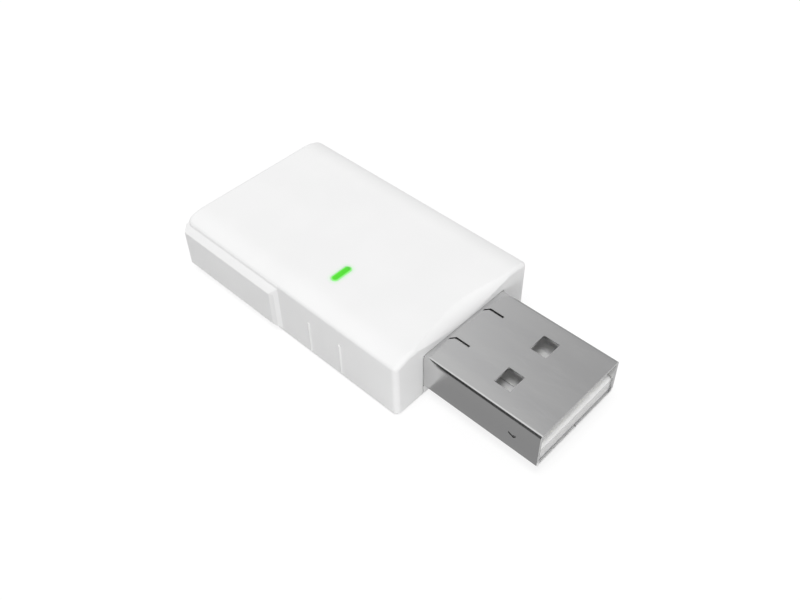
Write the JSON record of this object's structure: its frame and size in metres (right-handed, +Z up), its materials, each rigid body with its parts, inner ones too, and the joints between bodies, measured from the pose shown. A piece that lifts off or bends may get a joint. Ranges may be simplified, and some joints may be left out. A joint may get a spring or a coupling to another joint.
{
  "type": "bluetooth gateway dongle",
  "caption": "White stick-shaped radio gateway dongle with a flat steel plug, a raised side pad and a small green light in its top.",
  "frame": {"origin": "middle of the housing's flat underside", "axes": "+X the way the plug goes in, +Y across the stick away from the raised pad, +Z up"},
  "size_m": [0.0451, 0.0201, 0.0076],
  "materials": {
    "white_shell": "smooth white, soft gloss",
    "white_cover": "smooth white, soft gloss",
    "green_light": "clear green light guide",
    "plug_steel": "nickel plated steel",
    "plug_plastic": "white insulator",
    "contact_gold": "gold plated contacts",
    "board_laminate": "green solder mask",
    "module_laminate": "blue solder mask",
    "shield_tin": "tinned sheet",
    "chip_black": "black moulded resin",
    "crystal_can": "seam sealed can",
    "antenna_ceramic": "pale ceramic",
    "ferrite": "dark ferrite",
    "led_resin": "clear resin",
    "fuse_green": "green polymer",
    "capacitor_ceramic": "tan ceramic",
    "resistor_black": "black glaze"
  },
  "bodies": {
    "root": {"upper_housing": "white_shell", "lower_cover": "white_cover", "light_pipe": "green_light", "usb_plug_shell": "plug_steel", "usb_plug_insulator": "plug_plastic", "vbus_contact": "contact_gold", "data_minus_contact": "contact_gold", "data_plus_contact": "contact_gold", "ground_contact": "contact_gold", "circuit_board": "board_laminate", "radio_module_board": "module_laminate", "radio_shield": "shield_tin", "radio_chip": "chip_black", "flash_chip": "chip_black", "radio_crystal": "crystal_can", "chip_antenna": "antenna_ceramic", "voltage_regulator": "chip_black", "surge_protector": "chip_black", "power_inductor": "ferrite", "status_led": "led_resin", "resettable_fuse": "fuse_green", "bulk_capacitor": "capacitor_ceramic", "ceramic_capacitors": "capacitor_ceramic", "chip_resistors": "resistor_black", "antenna_matching_parts": "capacitor_ceramic"}
  },
  "joints": []
}
